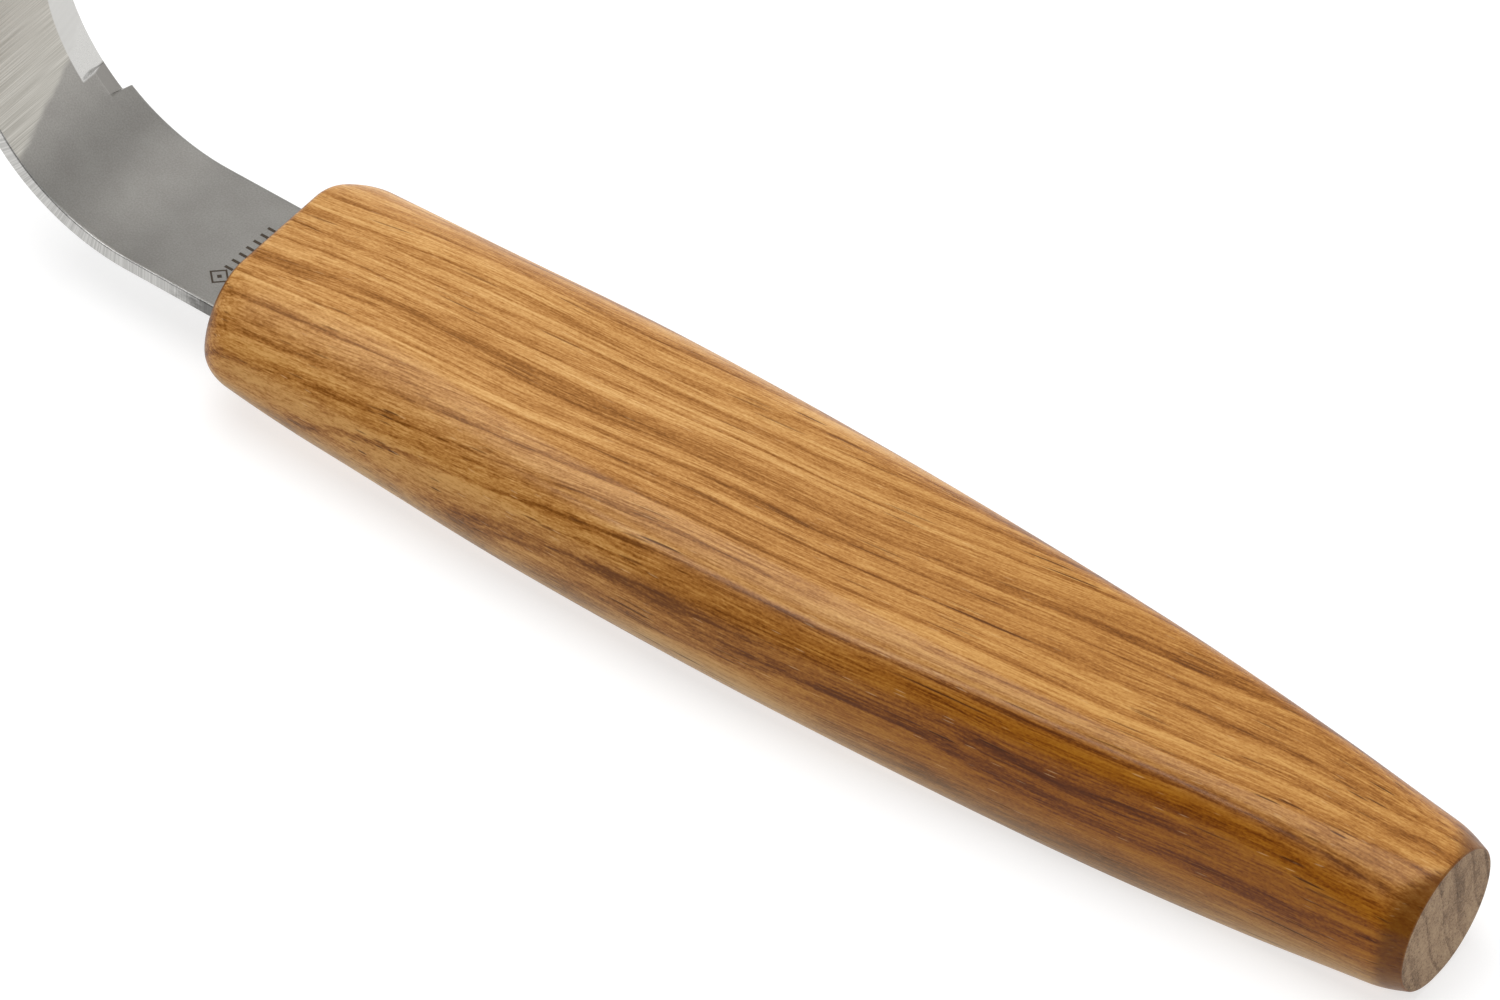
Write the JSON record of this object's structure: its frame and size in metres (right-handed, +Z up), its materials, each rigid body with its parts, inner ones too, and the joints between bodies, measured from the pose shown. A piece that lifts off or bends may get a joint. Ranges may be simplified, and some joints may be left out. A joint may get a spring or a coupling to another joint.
{
  "type": "hook knife",
  "caption": "Hook knife for hollowing spoons and bowls: a bent steel strip with one sharpened side, glued by its tang into a tapered wooden handle.",
  "frame": {"origin": "bottom centre of the whole knife as it lies on the flat under its handle", "axes": "+X from the hook to the butt of the handle, +Y towards the sharpened side of the blade, +Z up, the way the hook curls"},
  "size_m": [0.1488, 0.0266, 0.0433],
  "materials": {
    "oak": "oiled and lacquered oak, satin",
    "blade_steel": "ground carbon steel, satin, with a polished edge",
    "cured_glue": "cured clear epoxy, amber"
  },
  "bodies": {
    "root": {"handle": "oak", "blade": "blade_steel", "tang_adhesive": "cured_glue"}
  },
  "joints": []
}
